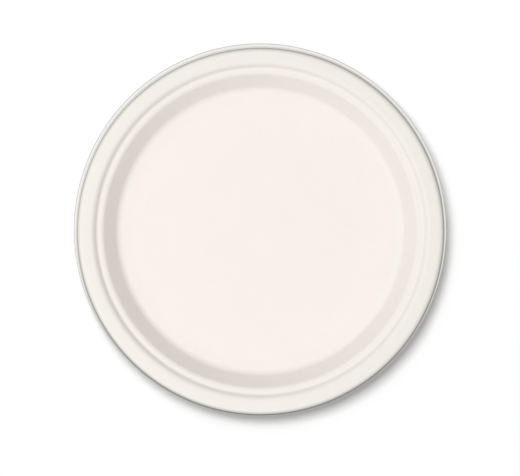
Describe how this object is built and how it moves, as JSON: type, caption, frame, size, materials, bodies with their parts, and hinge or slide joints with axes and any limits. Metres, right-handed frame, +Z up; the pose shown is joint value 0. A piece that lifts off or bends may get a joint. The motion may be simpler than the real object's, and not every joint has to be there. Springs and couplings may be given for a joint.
{
  "type": "paper plate",
  "caption": "Round moulded-fibre plate: flat base, sloping wall, narrow ledge and step up to a level rim, turned-down edge with a trimmed lip.",
  "frame": {"origin": "centre of the flat base, on the surface the plate stands on", "axes": "+Z up along the plate's axis, out of the open side; the plate is round, so X and Y are any two level directions"},
  "size_m": [0.225, 0.225, 0.02],
  "materials": {
    "fibre": "matte"
  },
  "bodies": {
    "root": {"plate": "fibre"}
  },
  "joints": []
}
